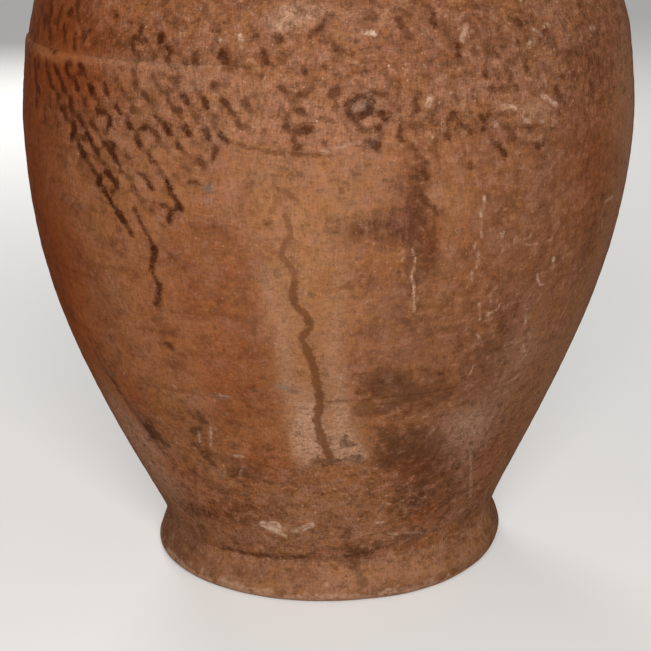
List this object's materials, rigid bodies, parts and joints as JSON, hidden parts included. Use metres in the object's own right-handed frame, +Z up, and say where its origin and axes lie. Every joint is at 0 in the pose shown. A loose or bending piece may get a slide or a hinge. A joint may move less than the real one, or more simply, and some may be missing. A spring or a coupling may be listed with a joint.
{
  "type": "terracotta water jug",
  "caption": "Wide-bellied unglazed clay water jug with a coiled foot, a ridge under the shoulder, a flared neck and strap handles, for carrying and cooling water.",
  "frame": {"origin": "middle of the foot, on the surface that the jug stands on", "axes": "+Z up along the axis of the jug, with a handle on the +X side and one on the -X side"},
  "size_m": [0.304, 0.304, 0.4403],
  "materials": {
    "floor_clay": "unglazed, rough",
    "foot_clay": "unglazed, worn",
    "wall_clay": "unglazed, wiped by hand",
    "painted_clay": "unglazed, with a worn net of dark dabs",
    "rim_clay": "unglazed, worn smooth",
    "handle_clay": "unglazed, worn smooth"
  },
  "bodies": {
    "root": {"base_disc": "floor_clay", "foot_ring": "foot_clay", "lower_wall": "wall_clay", "belly_wall": "painted_clay", "shoulder_wall": "painted_clay", "neck": "wall_clay", "rim_coil": "rim_clay", "handle_left": "handle_clay", "handle_right": "handle_clay"}
  },
  "joints": []
}
